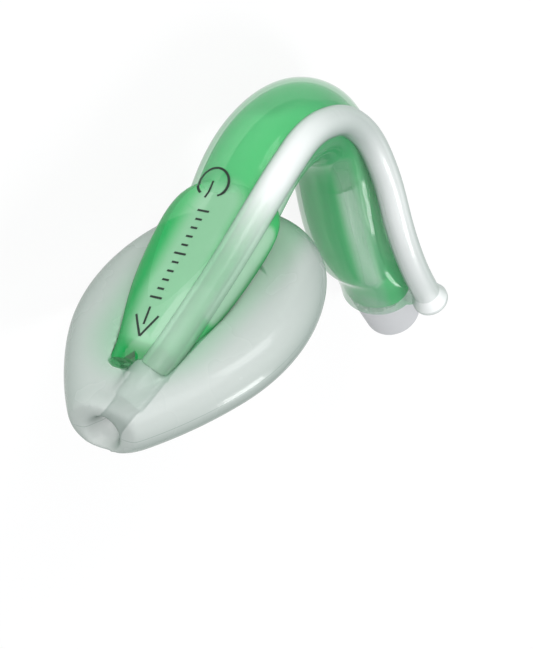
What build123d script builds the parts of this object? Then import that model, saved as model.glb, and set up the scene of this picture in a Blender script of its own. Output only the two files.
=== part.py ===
"""Laryngeal mask airway, two channels, medium adult size, in millimetres.

The pieces are drawn with the device standing on its arch: X from the tip of
the mask to the connector, Z up through the arch, the median plane at Y = 0
and the drain tube on the -Y side. At the end all of them are turned onto the
side that the device lies on.
"""

import os
from math import acos, cos, degrees, radians, sin, tan

from build123d import *

# Spine of the airway: a straight run, the bend and a gentle reverse sweep
spine_start = (13.3, 18.7)
spine_heading = 43.8
run_length = 53.4
bend_radius, bend_turn = 28.8, 107.2
sweep_radius, sweep_turn = 96.5, 24.5

# Stem: outside of the clear sleeve; the coloured core lies a skin inside it.
# Rows give station, half width, half depth, lateral offset and dorsal offset.
skin = 1.2
core_start_row = (30.0, 9.6, 4.8, 0.5, -1.8)
lumen_radius, lumen_start = 5.0, 17.0
base_wall = 1.5
stem_rows = (
    (43.0, 11.0, 6.6, 0.8, -1.7),
    (49.0, 11.2, 8.1, 0.9, -1.2),
    (59.0, 11.3, 9.0, 1.1, -0.6),
    (72.0, 11.3, 9.8, 1.0, 0.5),
    (85.0, 11.3, 9.7, 1.7, 1.0),
    (97.0, 11.3, 9.0, 2.3, 0.3),
    (109.0, 11.4, 8.5, 2.4, 0.1),
    (122.0, 11.4, 8.3, 2.4, 0.0),
    (135.0, 11.0, 8.2, 1.2, 0.0),
    (148.6, 10.3, 8.2, 0.0, 0.0),
)

# Plate on the mask's back, which the stem runs out of
plate_rows = (
    (0.0, 7.4, 4.3, 0.0, 0.0),
    (12.0, 10.0, 4.9, 0.0, 0.0),
    (24.0, 12.8, 5.6, 0.0, 0.0),
    (34.0, 13.7, 6.1, 0.0, 0.0),
    (41.0, 13.2, 6.0, 0.0, 0.0),
    (46.5, 9.4, 4.8, 0.0, 0.0),
)
panel_height, panel_lean = 5.0, 5.0
notch_width, notch_depth = 3.0, 2.2

# Mask: a rim along an egg of tangent arcs, in a plane that climbs from the tip
mask_tip = (-0.4, 6.6)
mask_pitch = 30.4
egg_radii = (12.8, 80.0, 40.2, 25.0)
egg_turns = (47.1, 16.2)
rim_radius = 6.4
roof_under, roof_crown, roof_crown_radius = 2.0, 7.0, 420.0
window_centre, window_length, window_width = 36.0, 20.0, 9.0
window_depth = 16.0

# Drain tube: its rows give station, lateral offset and dorsal offset
drain_radius, drain_bore = 3.5, 2.3
drain_lip_radius, drain_lip_length = 4.6, 5.0
drain_lip_flat, drain_lip_round, drain_lip_rise = 1.8, 1.2, 0.05
web_half_depth, web_bury = 2.8, 0.6
drain_rows = (
    (4.0, -5.9, 2.4),
    (25.0, -8.8, 3.9),
    (50.0, -10.5, 5.5),
    (63.0, -10.6, 5.7),
    (76.0, -10.6, 3.8),
    (89.0, -10.7, 1.6),
    (103.0, -12.1, -0.4),
    (120.0, -13.8, -0.9),
    (134.0, -14.7, -0.8),
    (148.6, -15.8, -0.7),
)
port_at, port_height, port_lean = 2.6, -0.5, 14.6
port_radius, port_depth, port_throat = 4.4, 3.0, 2.6
channel_radius, channel_bore, channel_length = 4.5, 2.9, 17.0
step_depth = 8.5

# Connector: 15 mm male cone, 1 in 40, with its insert in the lumen
cone_end_diameter = 15.1
cone_taper = 1 / 40
cone_length = 14.5
cone_bore = 11.0
cone_funnel = 3.0
insert_length, insert_bore = 40.0, 8.0
cone_round = 1.2

# Direction that faces up when the device lies at rest on its side
lie_up = (-0.1581, -0.9760, -0.1499)


def heading(angle):
    """Unit vector in the median plane at an angle from X."""
    return Vector(cos(radians(angle)), 0, sin(radians(angle)))


def egg(inset):
    """Closed outline of the mask, drawn inside its edge by an inset.

    The last two arcs turn by what brings the outline back to the middle line.
    """
    first, second = egg_turns
    cosines = [0.0, sin(radians(first)), sin(radians(first + second))]
    rise = egg_radii[0] * cosines[1] + egg_radii[1] * (cosines[2] - cosines[1])
    closing = egg_radii[2] * cosines[2] - rise
    last = degrees(acos(closing / (egg_radii[2] - egg_radii[3])))
    turns = (first, second, 90 - first - second + last, 90 - last)
    for side in (1, -1):
        start, along = (inset, 0), (0, side)
        for radius, turn in zip(egg_radii, turns):
            arc = JernArc(start, along, radius - inset, -side * turn)
            start, along = arc @ 1, arc % 1


def egg_length():
    """Length of the outline from the tip to the heel."""
    with BuildLine(mode=Mode.PRIVATE) as outline:
        egg(0)
    return outline.line.bounding_box().max.X


with BuildLine(Plane.XZ) as spine:
    run = Line(
        spine_start,
        (
            spine_start[0] + run_length * cos(radians(spine_heading)),
            spine_start[1] + run_length * sin(radians(spine_heading)),
        ),
    )
    bend = JernArc(run @ 1, run % 1, bend_radius, -bend_turn)
    sweep_out = JernArc(bend @ 1, bend % 1, sweep_radius, sweep_turn)
path = spine.wire()
base = path.length
end_heading = spine_heading - bend_turn + sweep_turn


def section(station):
    """Plane across the spine: x is lateral, y is dorsal."""
    at = path.position_at(station, PositionMode.LENGTH)
    along = path.tangent_at(station, PositionMode.LENGTH)
    return Plane(at, x_dir=(0, 1, 0), z_dir=along)


def blend(rows, inset=0.0):
    """Solid lofted through ellipses on the sections that the rows name."""
    with BuildPart() as body:
        for station, half_width, half_depth, lateral, dorsal in rows:
            with BuildSketch(section(station)):
                with Locations((lateral, dorsal)):
                    Ellipse(half_width - inset, half_depth - inset)
        loft()
    return body.part


def bore(rows, radius):
    """Solid lofted through circles on the same sections."""
    return blend([(row[0], radius, radius, row[3], row[4]) for row in rows])


def tangent_radii(points):
    """Fillet radii that let each arc take up most of its runs."""
    radii = []
    for before, corner, after in zip(points, points[1:], points[2:]):
        turn = (corner - before).get_angle(after - corner)
        shorter = min((corner - before).length, (after - corner).length)
        radii.append(0.45 * shorter / tan(radians(turn / 2)))
    return radii


mask_plane = Plane(
    (mask_tip[0], 0, mask_tip[1]), x_dir=heading(mask_pitch), z_dir=heading(mask_pitch + 90)
)

# Route of the drain, from the port in the snout to the proximal lip
port = mask_plane.from_local_coords(Vector(port_at, 0, port_height))
drain_points = [port]
for station, offset, height in drain_rows:
    plane = section(min(station, base))
    drain_points.append(plane.from_local_coords(Vector(offset, height, 0)))
channel_way = (drain_points[1] - port).normalized()
port_plane = Plane(port, x_dir=(0, 1, 0), z_dir=heading(mask_pitch - port_lean))
channel_plane = Plane(port, z_dir=channel_way)
drain_points[0] = port + channel_way * step_depth
with BuildLine() as route:
    FilletPolyline(*drain_points, radius=tangent_radii(drain_points))
drain_path = route.wire()
lip_plane = Plane(drain_path @ 1, z_dir=drain_path % 1)

with BuildPart() as drain_outer:
    with BuildSketch(Plane(drain_path @ 0, z_dir=drain_path % 0)):
        Circle(drain_radius)
    sweep(path=drain_path)
    with BuildSketch(lip_plane.offset(-drain_lip_length)):
        Circle(drain_radius - drain_lip_rise)
    with BuildSketch(lip_plane.offset(-drain_lip_flat)):
        Circle(drain_lip_radius)
    loft()
    with BuildSketch(lip_plane):
        Circle(drain_lip_radius)
    extrude(amount=-drain_lip_flat)
    lip_face = drain_outer.faces().sort_by_distance(lip_plane.origin)[0]
    fillet(lip_face.edges(), drain_lip_round)

with BuildPart() as drain_tube:
    add(drain_outer.part)
    with BuildSketch(Plane(drain_path @ 0, z_dir=drain_path % 0)):
        Circle(drain_bore)
    sweep(path=drain_path, mode=Mode.SUBTRACT)

# Airway: the plate on the mask's back and the core of the stem, bored through
core_rows = [core_start_row] + [
    (min(row[0], base - base_wall), row[1] - skin, row[2] - skin, *row[3:])
    for row in stem_rows
]
lumen_rows = [(lumen_start, 0, 0, 0, 0)] + core_rows[:-1] + [(base, 0, 0, 0, 0)]

core, lumen = blend(core_rows), bore(lumen_rows, lumen_radius)

# The plate is flat under the mask's roof and on the panel that faces outward
panel_plane = section(0).rotated((0, 0, -panel_lean))
panel_plane = Plane(
    panel_plane.origin + panel_plane.y_dir * panel_height,
    x_dir=panel_plane.z_dir,
    z_dir=panel_plane.y_dir,
)
with BuildPart() as plate_body:
    add(blend(plate_rows))
    split(bisect_by=mask_plane.offset(roof_under), keep=Keep.TOP)
    split(bisect_by=panel_plane, keep=Keep.BOTTOM)
    with BuildSketch(panel_plane):
        Polygon(
            (0, notch_width / 2), (notch_depth, 0), (0, -notch_width / 2), align=None
        )
    extrude(amount=-notch_depth, mode=Mode.SUBTRACT)
plate = plate_body.part

with BuildPart() as airway_tube:
    add(plate)
    add(core)
    add(lumen, mode=Mode.SUBTRACT)
    with BuildSketch(mask_plane.offset(-rim_radius)):
        with Locations((window_centre, 0)):
            SlotOverall(window_length, window_width)
    extrude(amount=window_depth, mode=Mode.SUBTRACT)
    add(drain_outer.part, mode=Mode.SUBTRACT)

# Outside of the mask: a round rim and a roof with a slight crown
with BuildPart() as mask_body:
    with BuildSketch(mask_plane.offset(roof_under)):
        with BuildLine():
            egg(rim_radius)
        make_face()
    extrude(amount=rim_radius)
    crown_centre = (egg_length() / 2, 0, roof_crown - roof_crown_radius)
    with Locations(mask_plane * Location(crown_centre)):
        Sphere(roof_crown_radius, mode=Mode.INTERSECT)
    with BuildLine(mask_plane) as rim_line:
        egg(rim_radius)
    with BuildSketch(Plane(rim_line.wire() @ 0, z_dir=rim_line.wire() % 0)):
        Circle(rim_radius)
    sweep(path=rim_line.wire())

# Clear sleeve: the stem's skin, a web that carries the drain and the base wall
sleeve_body = blend(stem_rows)
web_reach = drain_radius - web_bury
web = blend([
    (station, (-lateral - web_reach) / 2, web_half_depth, (lateral + web_reach) / 2, dorsal)
    for station, lateral, dorsal in drain_rows[-4:]
])

with BuildPart() as sleeve:
    add(sleeve_body)
    add(web)
    for inner in (core, plate, lumen, drain_outer.part, mask_body.part):
        add(inner, mode=Mode.SUBTRACT)

# Mask: rim and roof, with the snout that the drain opens through
with BuildPart() as cuff:
    add(mask_body.part)
    with BuildSketch(channel_plane):
        Circle(channel_radius)
    extrude(amount=channel_length)
    split(bisect_by=port_plane, keep=Keep.TOP)
    add(plate, mode=Mode.SUBTRACT)
    add(core, mode=Mode.SUBTRACT)
    add(drain_outer.part, mode=Mode.SUBTRACT)
    with BuildSketch(channel_plane.offset(-port_depth)):
        Circle(channel_bore)
    extrude(amount=step_depth + port_depth, mode=Mode.SUBTRACT)
    with BuildSketch(port_plane):
        Circle(port_radius)
    with BuildSketch(port_plane.offset(port_depth)):
        Circle(port_throat)
    loft(mode=Mode.SUBTRACT)
    with BuildSketch(mask_plane.offset(-rim_radius)):
        with Locations((window_centre, 0)):
            SlotOverall(window_length, window_width)
    extrude(amount=window_depth, mode=Mode.SUBTRACT)

# Connector: a male cone outside, and a curved insert that fills the lumen
base_plane = section(base)
upright = (Align.CENTER, Align.CENTER, Align.MIN)
cone_end = cone_end_diameter / 2
with BuildPart() as insert:
    add(lumen)
    split(bisect_by=section(base - insert_length), keep=Keep.TOP)

with BuildPart() as connector:
    add(insert.solids().sort_by_distance(base_plane.origin)[0])
    with Locations(base_plane):
        Cone(cone_end + cone_taper * cone_length / 2, cone_end, cone_length, align=upright)
    cone_edge = connector.edges().sort_by_distance(base_plane.offset(cone_length).origin)[0]
    fillet(cone_edge, cone_round)
    add(bore(lumen_rows, insert_bore / 2), mode=Mode.SUBTRACT)
    with Locations(base_plane):
        Cone(insert_bore / 2, cone_bore / 2, cone_funnel, align=upright, mode=Mode.SUBTRACT)
    with Locations(base_plane.offset(cone_funnel)):
        Cylinder(cone_bore / 2, cone_length, align=upright, mode=Mode.SUBTRACT)

# Turn every piece onto the side that the device lies on, over the origin
lying = Plane((0, 0, 0), x_dir=(1, 0, 0), z_dir=lie_up).location.inverse()
pieces = {
    "airway_tube": airway_tube,
    "sleeve": sleeve,
    "drain_tube": drain_tube,
    "cuff": cuff,
    "connector": connector,
}
boxes = [piece.part.moved(lying).bounding_box() for piece in pieces.values()]
low = [min(getattr(box.min, axis) for box in boxes) for axis in "XYZ"]
high = [max(getattr(box.max, axis) for box in boxes) for axis in "XY"]
lift = Location((-(low[0] + high[0]) / 2, -(low[1] + high[1]) / 2, -low[2]))

os.makedirs("parts", exist_ok=True)
for name, piece in pieces.items():
    piece.part.locate(lift * lying)
    piece.part.label = name
    export_step(piece.part, f"parts/{name}.step")
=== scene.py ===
"""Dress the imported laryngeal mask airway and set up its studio.

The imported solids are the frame: the device lies on its side, with +Z up and
+X from the mask's tip towards the connector, in metres. Lengths are written
in millimetres and turned into metres by MM, apart from the studio's floor,
lamps and clip distances, which are in metres. Angles are in degrees, and
colours are display values of 0 to 255 unless they have four numbers.
"""

import logging
from dataclasses import dataclass, field
from enum import Enum
from math import atan2, cos, hypot, radians, sin

import bpy
from mathutils import Matrix, Vector
from mathutils.bvhtree import BVHTree


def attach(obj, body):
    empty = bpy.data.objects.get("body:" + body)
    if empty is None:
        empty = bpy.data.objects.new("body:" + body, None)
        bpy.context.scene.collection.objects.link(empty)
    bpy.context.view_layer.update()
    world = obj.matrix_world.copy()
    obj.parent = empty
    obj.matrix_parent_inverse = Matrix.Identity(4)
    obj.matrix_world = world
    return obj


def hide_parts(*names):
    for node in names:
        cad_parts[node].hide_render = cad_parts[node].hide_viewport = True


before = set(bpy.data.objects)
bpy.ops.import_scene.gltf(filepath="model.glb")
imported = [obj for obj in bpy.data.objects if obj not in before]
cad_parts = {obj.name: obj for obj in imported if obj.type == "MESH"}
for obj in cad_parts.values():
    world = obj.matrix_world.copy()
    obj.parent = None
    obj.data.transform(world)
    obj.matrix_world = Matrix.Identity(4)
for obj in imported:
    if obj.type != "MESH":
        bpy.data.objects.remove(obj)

log = logging.getLogger("laryngeal_mask")

Spot = tuple[float, float]
Point = tuple[float, float, float]
Shade = tuple[float, float, float]
Rgba = tuple[float, float, float, float]

MM = 0.001
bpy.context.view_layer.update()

# The curve between a display's values and a shader's linear ones
DISPLAY_TOP = 255
DISPLAY_KNEE, DISPLAY_SLOPE, DISPLAY_LIFT, DISPLAY_GAMMA = 0.04045, 12.92, 0.055, 2.4

# The device was drawn standing on its arch and lies on its side in the frame.
# UP, EAST and NORTH are the frame's axes on the standing device. ALONG, SIDE
# and RISE are the device's own axes in the frame: from tip to connector, away
# from the drain, and up through the arch.
ORIGIN = Vector((-68.1088, -37.3433, 36.3771)) * MM
UP = Vector((-0.1581, -0.9760, -0.1499)).normalized()
EAST = (Vector((1, 0, 0)) - UP * UP.x).normalized()
NORTH = UP.cross(EAST)
ALONG = Vector((EAST.x, NORTH.x, UP.x))
SIDE = Vector((EAST.y, NORTH.y, UP.y))
RISE = Vector((EAST.z, NORTH.z, UP.z))

# The mask's own plane, on the standing device
MASK_TIP = (-0.4, 0, 6.6)
MASK_PITCH = 30.4


class Socket(Enum):
    """The kinds of socket that the shared node groups have."""

    NUMBER = "NodeSocketFloat"
    PLACE = "NodeSocketVector"


class Maths(Enum):
    """The two kinds of maths node."""

    NUMBER = "ShaderNodeMath"
    PLACE = "ShaderNodeVectorMath"


def outward(pitch: float) -> Vector:
    """Give the way out of a plane that climbs along the device.

    Args:
        pitch: The plane's climb, in degrees.

    Returns:
        The unit vector square to the plane, in the frame.
    """
    return RISE * cos(radians(pitch)) - ALONG * sin(radians(pitch))


def standing(x: float, y: float, z: float) -> Vector:
    """Place a point of the standing device, in millimetres, in the frame.

    Args:
        x: Length from the mask's tip towards the connector.
        y: Sideways, with the drain tube on the negative side.
        z: Height through the arch.

    Returns:
        The point in the frame, in metres.
    """
    return ORIGIN + (ALONG * x + SIDE * y + RISE * z) * MM


def colour(red: float, green: float, blue: float) -> Rgba:
    """Turn display values of 0 to 255 into a shader's linear colour.

    Args:
        red: Red as a display shows it.
        green: Green as a display shows it.
        blue: Blue as a display shows it.

    Returns:
        Linear red, green, blue and an alpha of 1.
    """
    linear = []
    for value in (red, green, blue):
        share = value / DISPLAY_TOP
        if share <= DISPLAY_KNEE:
            linear.append(share / DISPLAY_SLOPE)
        else:
            linear.append(((share + DISPLAY_LIFT) / (1 + DISPLAY_LIFT)) ** DISPLAY_GAMMA)
    return (*linear, 1.0)


def maths(
    tree: bpy.types.NodeTree, operation: str, kind: Maths = Maths.NUMBER
) -> bpy.types.Node:
    """Add one maths node to a tree.

    Args:
        tree: The tree.
        operation: What the node does with its inputs.
        kind: Whether it works on numbers or on places.

    Returns:
        The node.
    """
    node = tree.nodes.new(kind.value)
    node.operation = operation
    return node


@dataclass
class Groups:
    """Shader node groups that the finishes share."""

    mottle_detail: float = 2.0
    mottle_middle: float = 0.5

    def __post_init__(self) -> None:
        """Build each group once."""
        self.mottle = self._mottle()
        self.glow = self._glow()
        self.seam = self._seam()

    @staticmethod
    def _group(
        name: str, inputs: dict[str, tuple[Socket, object]], outputs: tuple[str, ...]
    ) -> bpy.types.NodeTree:
        """Make an empty group with its sockets.

        Args:
            name: The group's name.
            inputs: Kind and default value for each input.
            outputs: The names of the outputs, which are all numbers.

        Returns:
            The new node tree.
        """
        tree = bpy.data.node_groups.new(name, "ShaderNodeTree")
        for label, (kind, value) in inputs.items():
            socket = tree.interface.new_socket(label, in_out="INPUT", socket_type=kind.value)
            socket.default_value = value
        for label in outputs:
            tree.interface.new_socket(label, in_out="OUTPUT", socket_type=Socket.NUMBER.value)
        tree.nodes.new("NodeGroupInput")
        tree.nodes.new("NodeGroupOutput")
        return tree

    def _mottle(self) -> bpy.types.NodeTree:
        """Build the faint unevenness of moulded elastomer.

        Returns:
            A group that gives a value about 0.
        """
        tree = self._group(
            "moulded_mottle",
            {"Scale": (Socket.NUMBER, 60.0), "Amount": (Socket.NUMBER, 0.1)},
            ("Value",),
        )
        nodes, links = tree.nodes, tree.links
        start, end = nodes["Group Input"], nodes["Group Output"]
        place = nodes.new("ShaderNodeTexCoord")
        broad = nodes.new("ShaderNodeTexNoise")
        broad.inputs["Detail"].default_value = self.mottle_detail
        centred = maths(tree, "SUBTRACT")
        centred.inputs[1].default_value = self.mottle_middle
        scaled = maths(tree, "MULTIPLY")
        links.new(place.outputs["Object"], broad.inputs["Vector"])
        links.new(start.outputs["Scale"], broad.inputs["Scale"])
        links.new(broad.outputs["Fac"], centred.inputs[0])
        links.new(centred.outputs[0], scaled.inputs[0])
        links.new(start.outputs["Amount"], scaled.inputs[1])
        links.new(scaled.outputs[0], end.inputs["Value"])
        return tree

    def _glow(self) -> bpy.types.NodeTree:
        """Build a soft mask round a straight stretch inside the device.

        Returns:
            A group that gives 1 within Near of the stretch and 0 beyond Far.
        """
        tree = self._group(
            "near_a_stretch",
            {
                "From": (Socket.PLACE, (0.0, 0.0, 0.0)),
                "Way": (Socket.PLACE, (1.0, 0.0, 0.0)),
                "Near": (Socket.NUMBER, 0.005),
                "Far": (Socket.NUMBER, 0.015),
            },
            ("Mask",),
        )
        nodes, links = tree.nodes, tree.links
        start, end = nodes["Group Input"], nodes["Group Output"]
        place = nodes.new("ShaderNodeTexCoord")
        offset = maths(tree, "SUBTRACT", Maths.PLACE)
        along = maths(tree, "DOT_PRODUCT", Maths.PLACE)
        size = maths(tree, "DOT_PRODUCT", Maths.PLACE)
        nearest = maths(tree, "SCALE", Maths.PLACE)
        rest = maths(tree, "SUBTRACT", Maths.PLACE)
        distance = maths(tree, "LENGTH", Maths.PLACE)
        share = maths(tree, "DIVIDE")
        share.use_clamp = True
        fade = nodes.new("ShaderNodeMapRange")
        fade.interpolation_type = "SMOOTHSTEP"
        fade.inputs["To Min"].default_value = 1.0
        fade.inputs["To Max"].default_value = 0.0
        links.new(place.outputs["Object"], offset.inputs[0])
        links.new(start.outputs["From"], offset.inputs[1])
        links.new(offset.outputs["Vector"], along.inputs[0])
        links.new(start.outputs["Way"], along.inputs[1])
        links.new(start.outputs["Way"], size.inputs[0])
        links.new(start.outputs["Way"], size.inputs[1])
        links.new(along.outputs["Value"], share.inputs[0])
        links.new(size.outputs["Value"], share.inputs[1])
        links.new(start.outputs["Way"], nearest.inputs[0])
        links.new(share.outputs[0], nearest.inputs["Scale"])
        links.new(offset.outputs["Vector"], rest.inputs[0])
        links.new(nearest.outputs["Vector"], rest.inputs[1])
        links.new(rest.outputs["Vector"], distance.inputs[0])
        links.new(distance.outputs["Value"], fade.inputs["Value"])
        links.new(start.outputs["Near"], fade.inputs["From Min"])
        links.new(start.outputs["Far"], fade.inputs["From Max"])
        links.new(fade.outputs["Result"], end.inputs["Mask"])
        return tree

    def _seam(self) -> bpy.types.NodeTree:
        """Build the fine line that a mould's two halves leave.

        Returns:
            A group that gives 1 on the plane where the halves meet.
        """
        tree = self._group(
            "parting_line",
            {
                "Place": (Socket.PLACE, (0.0, 0.0, 0.0)),
                "Across": (Socket.PLACE, (0.0, 0.0, 1.0)),
                "Width": (Socket.NUMBER, 0.0002),
            },
            ("Mask",),
        )
        nodes, links = tree.nodes, tree.links
        start, end = nodes["Group Input"], nodes["Group Output"]
        place = nodes.new("ShaderNodeTexCoord")
        offset = maths(tree, "SUBTRACT", Maths.PLACE)
        height = maths(tree, "DOT_PRODUCT", Maths.PLACE)
        distance = maths(tree, "ABSOLUTE")
        line = nodes.new("ShaderNodeMapRange")
        line.interpolation_type = "SMOOTHSTEP"
        line.inputs["To Min"].default_value = 1.0
        line.inputs["To Max"].default_value = 0.0
        links.new(place.outputs["Object"], offset.inputs[0])
        links.new(start.outputs["Place"], offset.inputs[1])
        links.new(offset.outputs["Vector"], height.inputs[0])
        links.new(start.outputs["Across"], height.inputs[1])
        links.new(height.outputs["Value"], distance.inputs[0])
        links.new(distance.outputs[0], line.inputs["Value"])
        links.new(start.outputs["Width"], line.inputs["From Max"])
        links.new(line.outputs["Result"], end.inputs["Mask"])
        return tree


@dataclass(frozen=True)
class Seam:
    """A moulding's parting line, on a plane that climbs along the device.

    The place is a point of the plane on the standing device, and the pitch is
    how far the plane climbs.
    """

    place: Point
    pitch: float
    width: float
    shade: Shade


@dataclass(frozen=True)
class Tint:
    """A change of colour and clearness round a straight stretch of the device.

    The stretch's ends are on the standing device. The change is whole within
    near of the stretch and gone beyond far. Strength is how much of the shade
    shows there, and clear how much of the cover goes, both from 0 to 1.
    """

    begin: Point
    finish: Point
    near: float
    far: float
    shade: Shade
    strength: float = 1.0
    clear: float = 0.0


def laid_over(
    tree: bpy.types.NodeTree,
    below: bpy.types.NodeSocket,
    shade: Shade,
    share: bpy.types.NodeSocket,
) -> bpy.types.NodeSocket:
    """Mix a colour over the one that a socket gives.

    Args:
        tree: The material's nodes.
        below: The colour underneath.
        shade: The display colour that goes over it.
        share: How much of the upper colour shows, from 0 to 1.

    Returns:
        The socket of the mixed colour.
    """
    mix = tree.nodes.new("ShaderNodeMix")
    mix.data_type = "RGBA"
    mix.inputs["B"].default_value = colour(*shade)
    tree.links.new(share, mix.inputs["Factor"])
    tree.links.new(below, mix.inputs["A"])
    return mix.outputs["Result"]


@dataclass(frozen=True)
class Elastomer:
    """A moulded see-through finish: its body colour, edge colour and clearness.

    Clearness runs from 0, solid, to 1. The middle is where a surface faces the
    eye and the edge where it turns away, and blend says how fast the one turns
    into the other.
    """

    name: str
    body: Shade
    edge: Shade
    clear_middle: float
    clear_edge: float
    roughness: float
    tints: tuple[Tint, ...] = ()
    coat: float = 0.25
    coat_roughness: float = 0.06
    gloss: float = 0.3
    refraction: float = 1.42
    mottle: float = 0.1
    mottle_scale: float = 90.0
    blend: float = 0.35
    seam: Seam | None = None

    def _tinted(
        self,
        tree: bpy.types.NodeTree,
        groups: Groups,
        base: bpy.types.NodeSocket,
        cover: bpy.types.NodeSocket,
    ) -> tuple[bpy.types.NodeSocket, bpy.types.NodeSocket]:
        """Lay the tints over the body colour and thin the clear ones.

        Args:
            tree: The material's nodes.
            groups: The shared node groups.
            base: The body colour.
            cover: The alpha before the tints.

        Returns:
            The sockets of the tinted colour and of the thinned alpha.
        """
        nodes, links = tree.nodes, tree.links
        for tint in self.tints:
            begin, finish = standing(*tint.begin), standing(*tint.finish)
            mask = nodes.new("ShaderNodeGroup")
            mask.node_tree = groups.glow
            mask.inputs["From"].default_value = begin
            mask.inputs["Way"].default_value = finish - begin
            mask.inputs["Near"].default_value = tint.near * MM
            mask.inputs["Far"].default_value = tint.far * MM
            share = maths(tree, "MULTIPLY")
            share.inputs[1].default_value = tint.strength
            links.new(mask.outputs["Mask"], share.inputs[0])
            base = laid_over(tree, base, tint.shade, share.outputs[0])
            if tint.clear:
                thin = nodes.new("ShaderNodeMapRange")
                thin.inputs["To Min"].default_value = 1.0
                thin.inputs["To Max"].default_value = 1 - tint.clear
                kept = maths(tree, "MULTIPLY")
                links.new(mask.outputs["Mask"], thin.inputs["Value"])
                links.new(cover, kept.inputs[0])
                links.new(thin.outputs["Result"], kept.inputs[1])
                cover = kept.outputs[0]
        return base, cover

    def _seamed(
        self, tree: bpy.types.NodeTree, groups: Groups, base: bpy.types.NodeSocket
    ) -> bpy.types.NodeSocket:
        """Draw the parting line over a colour, if the moulding has one.

        Args:
            tree: The material's nodes.
            groups: The shared node groups.
            base: The colour underneath.

        Returns:
            The socket of the colour with the line.
        """
        if self.seam is None:
            return base
        line = tree.nodes.new("ShaderNodeGroup")
        line.node_tree = groups.seam
        line.inputs["Place"].default_value = standing(*self.seam.place)
        line.inputs["Across"].default_value = outward(self.seam.pitch)
        line.inputs["Width"].default_value = self.seam.width * MM
        return laid_over(tree, base, self.seam.shade, line.outputs["Mask"])

    def build(self, groups: Groups) -> bpy.types.Material:
        """Build the material.

        Args:
            groups: The shared node groups.

        Returns:
            The material, ready to assign.
        """
        material = bpy.data.materials.new(self.name)
        material.use_nodes = True
        tree = material.node_tree
        nodes, links = tree.nodes, tree.links
        nodes.clear()
        output = nodes.new("ShaderNodeOutputMaterial")
        shader = nodes.new("ShaderNodeBsdfPrincipled")
        shader.inputs["IOR"].default_value = self.refraction
        shader.inputs["Specular IOR Level"].default_value = self.gloss
        shader.inputs["Coat Weight"].default_value = self.coat
        shader.inputs["Coat Roughness"].default_value = self.coat_roughness
        facing = nodes.new("ShaderNodeLayerWeight")
        facing.inputs["Blend"].default_value = self.blend
        alpha = nodes.new("ShaderNodeMapRange")
        alpha.inputs["To Min"].default_value = 1 - self.clear_middle
        alpha.inputs["To Max"].default_value = 1 - self.clear_edge
        links.new(facing.outputs["Facing"], alpha.inputs["Value"])
        plain = nodes.new("ShaderNodeRGB")
        plain.outputs[0].default_value = colour(*self.body)
        tinted, cover = self._tinted(tree, groups, plain.outputs[0], alpha.outputs["Result"])
        edged = laid_over(tree, tinted, self.edge, facing.outputs["Facing"])
        links.new(self._seamed(tree, groups, edged), shader.inputs["Base Color"])

        mottle = nodes.new("ShaderNodeGroup")
        mottle.node_tree = groups.mottle
        mottle.inputs["Scale"].default_value = self.mottle_scale
        mottle.inputs["Amount"].default_value = self.mottle
        rough = maths(tree, "ADD")
        rough.inputs[1].default_value = self.roughness
        links.new(mottle.outputs["Value"], rough.inputs[0])
        links.new(rough.outputs[0], shader.inputs["Roughness"])

        inner = nodes.new("ShaderNodeNewGeometry")
        see = nodes.new("ShaderNodeBsdfTransparent")
        front = nodes.new("ShaderNodeMixShader")
        links.new(cover, shader.inputs["Alpha"])
        links.new(inner.outputs["Backfacing"], front.inputs["Fac"])
        links.new(shader.outputs["BSDF"], front.inputs[1])
        links.new(see.outputs["BSDF"], front.inputs[2])
        links.new(front.outputs["Shader"], output.inputs["Surface"])
        return material


def dress(piece: bpy.types.Object, material: bpy.types.Material) -> None:
    """Give a whole piece one material.

    Args:
        piece: The mesh object.
        material: The material for every face.
    """
    piece.data.materials.clear()
    piece.data.materials.append(material)


def only(piece: bpy.types.Object) -> None:
    """Select one object alone and make it active.

    Args:
        piece: The object to work on.
    """
    if bpy.context.object and bpy.context.object.mode != "OBJECT":
        bpy.ops.object.mode_set(mode="OBJECT")
    bpy.ops.object.select_all(action="DESELECT")
    piece.select_set(True)
    bpy.context.view_layer.objects.active = piece


def apply_modifiers(piece: bpy.types.Object) -> None:
    """Apply every modifier of a piece in order.

    Args:
        piece: The object to finish.
    """
    only(piece)
    for modifier in list(piece.modifiers):
        bpy.ops.object.modifier_apply(modifier=modifier.name)


def free_skin(
    node: str, name: str, against: tuple[str, ...], contact: float = 0.08
) -> bpy.types.Object:
    """Copy a solid without the faces that lie on its neighbours.

    Two see-through pieces that touch would otherwise show the same face twice.

    Args:
        node: The solid to copy.
        name: The copy's name.
        against: The neighbours whose surfaces it lies on.
        contact: How near a face lies to count as touching, in millimetres.

    Returns:
        The copy, which takes the solid's place.
    """
    piece = bpy.data.objects.new(name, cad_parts[node].data.copy())
    bpy.context.scene.collection.objects.link(piece)
    only(piece)
    bpy.ops.object.mode_set(mode="EDIT")
    bpy.ops.mesh.select_mode(type="FACE")
    bpy.ops.mesh.select_all(action="DESELECT")
    bpy.ops.object.mode_set(mode="OBJECT")
    corners = piece.data.vertices
    for other in against:
        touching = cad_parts[other].data
        neighbour = BVHTree.FromPolygons(
            [corner.co for corner in touching.vertices],
            [tuple(face.vertices) for face in touching.polygons],
        )
        reach = contact * MM
        near = [neighbour.find_nearest(corner.co, reach)[0] is not None for corner in corners]
        for face in piece.data.polygons:
            if all(near[index] for index in face.vertices):
                if neighbour.find_nearest(face.center, reach)[0] is not None:
                    face.select = True
    bpy.ops.object.mode_set(mode="EDIT")
    bpy.ops.mesh.delete(type="FACE")
    bpy.ops.object.mode_set(mode="OBJECT")
    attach(piece, "root")
    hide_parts(node)
    return piece


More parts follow.
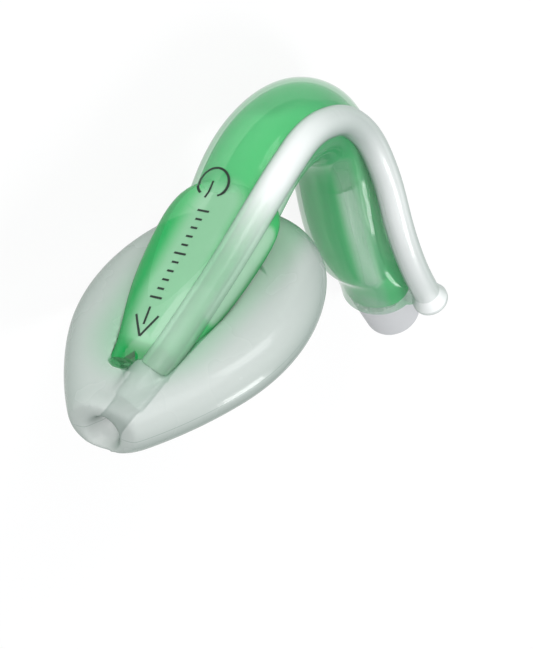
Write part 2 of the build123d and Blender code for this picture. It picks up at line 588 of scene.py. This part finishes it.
@dataclass
class SoftCuff:
    """The mask: one soft moulding with its rim, roof and snout run together."""

    merge: float = 0.002
    voxel: float = 0.5
    smooth_share: float = 0.5
    smooth_steps: int = 24
    finish: Elastomer = field(
        default_factory=lambda: Elastomer(
            name="cuff_elastomer",
            body=(170, 180, 174),
            edge=(40, 90, 66),
            clear_middle=0.28,
            clear_edge=0.0,
            roughness=0.27,
            blend=0.36,
            tints=(
                # A painted green glow round the plate: its light scattered and reflected in the
                # cuff
                Tint((24, 0, 20), (54, 0, 50), 10, 20, (84, 172, 116), 0.85),
                # The plate's end shows through the skin that it sinks under
                Tint((10.8, 3.2, 20.8), (11.2, 0.4, 20.4), 1.4, 2.6, (0, 140, 66), 0.9, 0.55),
            ),
            seam=Seam(MASK_TIP, MASK_PITCH, 0.16, (120, 140, 130)),
        )
    )

    def build(self, groups: Groups) -> bpy.types.Object:
        """Run the solid's rim, roof and snout together and dress the result.

        Args:
            groups: The shared node groups.

        Returns:
            The finished piece.
        """
        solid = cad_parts["cuff"]
        piece = bpy.data.objects.new("cuff_moulding", solid.data.copy())
        bpy.context.scene.collection.objects.link(piece)
        only(piece)
        bpy.ops.object.mode_set(mode="EDIT")
        bpy.ops.mesh.select_all(action="SELECT")
        bpy.ops.mesh.remove_doubles(threshold=self.merge * MM)
        bpy.ops.object.mode_set(mode="OBJECT")
        remesh = piece.modifiers.new("even_mesh", "REMESH")
        remesh.mode, remesh.voxel_size = "VOXEL", self.voxel * MM
        smooth = piece.modifiers.new("run_together", "SMOOTH")
        smooth.factor, smooth.iterations = self.smooth_share, self.smooth_steps
        apply_modifiers(piece)
        bpy.ops.object.shade_smooth()
        dress(piece, self.finish.build(groups))
        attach(piece, "root")
        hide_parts("cuff")
        log.info("cuff: %d faces", len(piece.data.polygons))
        return piece


@dataclass
class TintedStem:
    """The tinted airway tube and plate in their clear sleeve."""

    core: Elastomer = field(
        default_factory=lambda: Elastomer(
            name="tinted_core",
            body=(70, 176, 104),
            edge=(0, 136, 62),
            clear_middle=0.12,
            clear_edge=0.0,
            roughness=0.22,
            coat=0.0,
            gloss=0.1,
            blend=0.45,
            tints=(
                # The plate's outer end and its left edge, where it is thickest
                Tint((11.5, 5.5, 20.0), (11.5, -4, 20.0), 5, 6, (0, 128, 56), 1.0),
                Tint((12, 6, 23), (41, 12, 50), 1.5, 5, (10, 160, 80), 0.8),
                # The panel, paler along its middle: a painted sheen where it lies flat
                Tint((17, 0, 29), (39, 0, 50), 3.5, 8.5, (160, 198, 170), 0.85),
                # The right flank beside the drain
                Tint((24, -11, 31), (39, -13, 46), 1.2, 3.2, (176, 200, 182), 0.75),
                # The crown of the bend, seen through its full depth
                Tint((60, 2, 71), (77, -4, 72), 2.5, 7.5, (0, 118, 54), 1.0),
                # The lumen and the insert, pale between deeper flanks
                Tint((84, 0.8, 54), (107, 0.8, 21), 0.8, 3, (10, 150, 75), 0.8),
                Tint((86, -4.5, 53), (110, -4.2, 21), 1, 4, (190, 208, 192), 0.75, 0.5),
                Tint((92, -7.2, 49), (111, -7.4, 22), 0.3, 1.5, (10, 120, 65), 0.8),
                # The base wall, where the insert fills it
                Tint((112, -3, 18), (116, -3, 13), 2, 5, (170, 190, 178), 0.7),
            ),
        )
    )
    skin: Elastomer = field(
        default_factory=lambda: Elastomer(
            name="clear_sleeve",
            body=(120, 200, 146),
            edge=(20, 132, 72),
            clear_middle=0.92,
            clear_edge=0.0,
            roughness=0.12,
            coat=0.5,
            blend=0.6,
            tints=(
                Tint((116, 0, 7), (120, 0, 10), 7, 11, (190, 202, 196), 0.8),
            ),
        )
    )

    def build(self, groups: Groups) -> None:
        """Dress the stem's two solids.

        Args:
            groups: The shared node groups.
        """
        core = free_skin("airway_tube", "core_moulding", ("connector",))
        dress(core, self.core.build(groups))
        sleeve = free_skin(
            "sleeve", "sleeve_skin", ("airway_tube", "drain_tube", "connector", "cuff")
        )
        dress(sleeve, self.skin.build(groups))
        faces = len(core.data.polygons), len(sleeve.data.polygons)
        log.info("stem: core %d and sleeve %d faces", *faces)


@dataclass
class ClearDrain:
    """The clear drain tube on the stem's side."""

    finish: Elastomer = field(
        default_factory=lambda: Elastomer(
            name="clear_drain",
            body=(255, 255, 255),
            edge=(84, 116, 100),
            clear_middle=0.25,
            clear_edge=0.0,
            roughness=0.3,
            blend=0.5,
            tints=(
                # Greener and clearer where it passes the plate: a painted reflection of the
                # green plate, which also shows through
                Tint((12, -6, 24), (24, -9, 36), 4, 30, (172, 204, 182), 0.9, 0.4),
            ),
        )
    )

    def build(self, groups: Groups) -> None:
        """Dress the drain's solid.

        Args:
            groups: The shared node groups.
        """
        dress(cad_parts["drain_tube"], self.finish.build(groups))
        log.info("drain tube dressed")


@dataclass
class CircuitConnector:
    """The matt connector with its insert inside the stem."""

    finish: Elastomer = field(
        default_factory=lambda: Elastomer(
            name="connector_plastic",
            body=(205, 205, 206),
            edge=(165, 168, 170),
            clear_middle=0.12,
            clear_edge=0.0,
            roughness=0.45,
            coat=0.1,
            gloss=0.2,
        )
    )

    def build(self, groups: Groups) -> None:
        """Dress the connector's solid.

        Args:
            groups: The shared node groups.
        """
        dress(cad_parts["connector"], self.finish.build(groups))
        log.info("connector dressed")


@dataclass
class PanelPrint:
    """Plain marks on the plate's panel: a ring, a scale of ticks and an arrow.

    Lengths are in millimetres in the plate's own plane: the first from the
    plate's outer end along the device, the second to the side.
    """

    # Where the plate's plane starts on the standing device: length and height
    run_start: Spot = (13.3, 18.7)
    run_heading: float = 43.8
    above: float = 11.0
    stroke: float = 0.52
    stroke_cell: float = 0.4
    ring_centre: Spot = (45.1, 3.4)
    ring_radius: float = 3.2
    ring_breadth: float = 1.22
    ring_gap: float = 62.0
    ring_corners: int = 96
    # The stroke out through the ring's gap, from the ring's centre
    gap_stroke: tuple[Spot, Spot] = ((0.3, 0.0), (-3.7, 0.5))
    scale_ends: tuple[Spot, Spot] = ((38.0, 2.4), (15.0, 1.8))
    scale_ticks: int = 11
    ticks_per_long: int = 5
    tick_short: float = 1.7
    tick_long: float = 3.0
    arrow_tip: Spot = (5.6, 0.8)
    arrow_barbs: tuple[Spot, Spot] = ((10.4, 4.4), (11.0, -1.1))
    # The shaft starts this far from the tip, and ends at its own place
    shaft_from_tip: Spot = (2.8, 0.5)
    shaft_end: Spot = (12.6, 1.9)
    ink: Shade = (12, 32, 22)
    ink_height: float = 0.06
    ink_roughness: float = 0.5

    def place(self) -> Matrix:
        """Give the plate's own plane as a matrix.

        Returns:
            The plane, with x along the plate, y to the side and z outward.
        """
        heading = radians(self.run_heading)
        x, z = self.run_start
        start = standing(x, 0, z)
        along = ALONG * cos(heading) + RISE * sin(heading)
        turn = Matrix((along, SIDE, outward(self.run_heading))).transposed().to_4x4()
        return Matrix.Translation(start) @ turn

    def strip(self, begin: Spot, finish: Spot) -> bpy.types.Object:
        """Lay one straight stroke above the panel.

        Args:
            begin: Its first end.
            finish: Its other end.

        Returns:
            The stroke, in the plate's plane.
        """
        run, side = finish[0] - begin[0], finish[1] - begin[1]
        length = hypot(run, side)
        middle = (
            (begin[0] + finish[0]) / 2 * MM,
            (begin[1] + finish[1]) / 2 * MM,
            self.above * MM,
        )
        bpy.ops.mesh.primitive_grid_add(
            x_subdivisions=max(2, round(length / self.stroke_cell)),
            y_subdivisions=2,
            size=1,
            location=middle,
        )
        piece = bpy.context.object
        piece.scale = (length * MM, self.stroke * MM, 1)
        piece.rotation_euler = (0, 0, atan2(side, run))
        bpy.ops.object.transform_apply(location=True, rotation=True, scale=True)
        return piece

    def ring(self) -> bpy.types.Object:
        """Lay the open ring above the panel.

        Returns:
            The ring, in the plate's plane.
        """
        x, y = self.ring_centre
        inside, outside = self.ring_radius - self.stroke / 2, self.ring_radius + self.stroke / 2
        bpy.ops.mesh.primitive_circle_add(
            vertices=self.ring_corners, radius=inside * MM, location=(0, 0, 0)
        )
        piece = bpy.context.object
        bpy.ops.object.mode_set(mode="EDIT")
        bpy.ops.mesh.select_mode(type="VERT")
        bpy.ops.mesh.select_all(action="DESELECT")
        bpy.ops.object.mode_set(mode="OBJECT")
        for vertex in piece.data.vertices:
            bearing = atan2(vertex.co.y, -vertex.co.x)
            vertex.select = abs(bearing) < radians(self.ring_gap) / 2
        bpy.ops.object.mode_set(mode="EDIT")
        bpy.ops.mesh.delete(type="VERT")
        bpy.ops.mesh.select_all(action="SELECT")
        bpy.ops.mesh.extrude_edges_move()
        wider = outside / inside
        bpy.ops.transform.resize(value=(wider, wider, 1), center_override=(0, 0, 0))
        bpy.ops.mesh.select_all(action="SELECT")
        bpy.ops.transform.resize(value=(1, self.ring_breadth, 1), center_override=(0, 0, 0))
        bpy.ops.object.mode_set(mode="OBJECT")
        piece.location = (x * MM, y * MM, self.above * MM)
        bpy.ops.object.transform_apply(location=True, rotation=False, scale=False)
        return piece

    def strokes(self) -> list[bpy.types.Object]:
        """Lay every stroke.

        Returns:
            The strokes, in the plate's plane.
        """
        x, y = self.ring_centre
        (x0, y0), (x1, y1) = self.gap_stroke
        made = [self.ring(), self.strip((x + x0, y + y0), (x + x1, y + y1))]
        (x0, y0), (x1, y1) = self.scale_ends
        for count in range(self.scale_ticks):
            share = count / (self.scale_ticks - 1)
            x, y = x0 + (x1 - x0) * share, y0 + (y1 - y0) * share
            whole = self.tick_short if count % self.ticks_per_long else self.tick_long
            made.append(self.strip((x, y - whole / 2), (x, y + whole / 2)))
        tip, (left, right) = self.arrow_tip, self.arrow_barbs
        shaft = (tip[0] + self.shaft_from_tip[0], tip[1] + self.shaft_from_tip[1])
        made.append(self.strip(shaft, self.shaft_end))
        made.append(self.strip(tip, left))
        made.append(self.strip(tip, right))
        return made

    def build(self) -> bpy.types.Object:
        """Print the marks on the panel and on the sleeve beside it.

        Returns:
            The finished piece.
        """
        made = self.strokes()
        only(made[0])
        for stroke in made:
            stroke.select_set(True)
        bpy.ops.object.join()
        piece = bpy.context.object
        piece.name = "panel_print"
        bpy.ops.object.mode_set(mode="EDIT")
        bpy.ops.mesh.select_all(action="SELECT")
        bpy.ops.mesh.normals_make_consistent(inside=False)
        bpy.ops.object.mode_set(mode="OBJECT")
        piece.matrix_world = self.place()
        drop = piece.modifiers.new("lay_on_panel", "SHRINKWRAP")
        drop.wrap_method, drop.wrap_mode = "PROJECT", "ABOVE_SURFACE"
        drop.use_project_z = True
        drop.use_negative_direction = True
        drop.use_positive_direction = False
        drop.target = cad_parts["airway_tube"]
        drop.auxiliary_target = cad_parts["sleeve"]
        drop.offset = self.ink_height * MM
        apply_modifiers(piece)
        only(piece)
        bpy.ops.object.transform_apply(location=True, rotation=True, scale=True)
        material = bpy.data.materials.new("print_ink")
        material.use_nodes = True
        shader = material.node_tree.nodes["Principled BSDF"]
        shader.inputs["Base Color"].default_value = colour(*self.ink)
        shader.inputs["Roughness"].default_value = self.ink_roughness
        dress(piece, material)
        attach(piece, "root")
        log.info("print: %d faces", len(piece.data.polygons))
        return piece


@dataclass(frozen=True)
class Lamp:
    """One square soft lamp: its place and side in metres, its power in watts."""

    name: str
    place: Point
    side: float
    power: float


@dataclass
class Studio:
    """A pale floor, soft lamps and the camera, placed in the frame."""

    eye: Point = (-303.94, 120.49, 237.87)
    aim: Point = (-9.29, -17.33, 27.38)
    top: Point = (0.1412, 0.9072, -0.3964)
    lens: float = 94.4
    film: float = 36.0
    clip: tuple[float, float] = (0.01, 20.0)
    layers_seen: int = 64
    floor_side: float = 3.0
    floor_drop: float = 0.0002
    floor_tone: Rgba = (0.86, 0.86, 0.86, 1)
    floor_roughness: float = 0.9
    floor_white: float = 0.9
    room_tone: Rgba = (0.93, 0.96, 1.0, 1)
    room_strength: float = 0.5
    lamps: tuple[Lamp, ...] = (
        Lamp("key", (0.3, -0.36, 0.8), 0.3, 4.7),
        Lamp("fill", (-0.7, 0.5, 0.5), 0.7, 4.2),
        Lamp("crown", (-0.2, 0.8, 0.42), 0.4, 3.6),
    )

    def camera(self) -> None:
        """Place the camera at the photograph's viewing angle."""
        data = bpy.data.cameras.new("camera")
        data.sensor_fit, data.sensor_height, data.lens = "VERTICAL", self.film, self.lens
        data.clip_start, data.clip_end = self.clip
        camera = bpy.data.objects.new("camera", data)
        eye, aim = Vector(self.eye) * MM, Vector(self.aim) * MM
        back = (eye - aim).normalized()
        right = Vector(self.top).cross(back).normalized()
        turn = Matrix((right, back.cross(right), back)).transposed().to_4x4()
        camera.matrix_world = Matrix.Translation(eye) @ turn
        bpy.context.scene.collection.objects.link(camera)
        bpy.context.scene.camera = camera

    def floor(self) -> None:
        """Lay the pale floor, which the camera and mirrors see as nearly white."""
        bpy.ops.mesh.primitive_plane_add(
            size=self.floor_side, location=(0, 0, -self.floor_drop)
        )
        floor = bpy.context.object
        floor.name = "floor"
        material = bpy.data.materials.new("pale_floor")
        material.use_nodes = True
        tree = material.node_tree
        nodes, links = tree.nodes, tree.links
        matt = nodes["Principled BSDF"]
        matt.inputs["Base Color"].default_value = self.floor_tone
        matt.inputs["Roughness"].default_value = self.floor_roughness
        matt.inputs["Specular IOR Level"].default_value = 0.0
        white = nodes.new("ShaderNodeEmission")
        rays = nodes.new("ShaderNodeLightPath")
        seen = maths(tree, "MAXIMUM")
        share = maths(tree, "MULTIPLY")
        share.inputs[1].default_value = self.floor_white
        mix = nodes.new("ShaderNodeMixShader")
        links.new(rays.outputs["Is Camera Ray"], seen.inputs[0])
        links.new(rays.outputs["Is Glossy Ray"], seen.inputs[1])
        links.new(seen.outputs[0], share.inputs[0])
        links.new(share.outputs[0], mix.inputs["Fac"])
        links.new(matt.outputs["BSDF"], mix.inputs[1])
        links.new(white.outputs["Emission"], mix.inputs[2])
        links.new(mix.outputs["Shader"], nodes["Material Output"].inputs["Surface"])
        dress(floor, material)

    def world(self) -> None:
        """Fill the room with an even, slightly cool light, white to the camera."""
        world = bpy.data.worlds.new("room")
        bpy.context.scene.world = world
        world.use_nodes = True
        nodes, links = world.node_tree.nodes, world.node_tree.links
        room = nodes["Background"]
        room.inputs["Color"].default_value = self.room_tone
        room.inputs["Strength"].default_value = self.room_strength
        white = nodes.new("ShaderNodeBackground")
        rays = nodes.new("ShaderNodeLightPath")
        mix = nodes.new("ShaderNodeMixShader")
        links.new(rays.outputs["Is Camera Ray"], mix.inputs["Fac"])
        links.new(room.outputs["Background"], mix.inputs[1])
        links.new(white.outputs["Background"], mix.inputs[2])
        links.new(mix.outputs["Shader"], nodes["World Output"].inputs["Surface"])

    def hang(self, lamp: Lamp) -> None:
        """Hang one lamp so that it faces the device.

        Args:
            lamp: The lamp.
        """
        data = bpy.data.lights.new(lamp.name, "AREA")
        data.size, data.energy = lamp.side, lamp.power
        place = Vector(lamp.place)
        turn = (place - Vector(self.aim) * MM).to_track_quat("Z", "Y").to_matrix().to_4x4()
        hung = bpy.data.objects.new(lamp.name, data)
        hung.matrix_world = Matrix.Translation(place) @ turn
        bpy.context.scene.collection.objects.link(hung)

    def build(self) -> None:
        """Set up the whole studio."""
        self.camera()
        self.floor()
        self.world()
        for lamp in self.lamps:
            self.hang(lamp)
        bpy.context.scene.view_settings.view_transform = "Standard"
        bpy.context.scene.cycles.transparent_max_bounces = self.layers_seen
        log.info("studio ready")


def main() -> None:
    """Build every sub-assembly in order and report each."""
    logging.basicConfig(level=logging.INFO, format="%(name)s: %(message)s")
    bpy.ops.object.select_all(action="DESELECT")
    groups = Groups()
    SoftCuff().build(groups)
    TintedStem().build(groups)
    ClearDrain().build(groups)
    CircuitConnector().build(groups)
    PanelPrint().build()
    Studio().build()


if __name__ == "__main__":
    main()
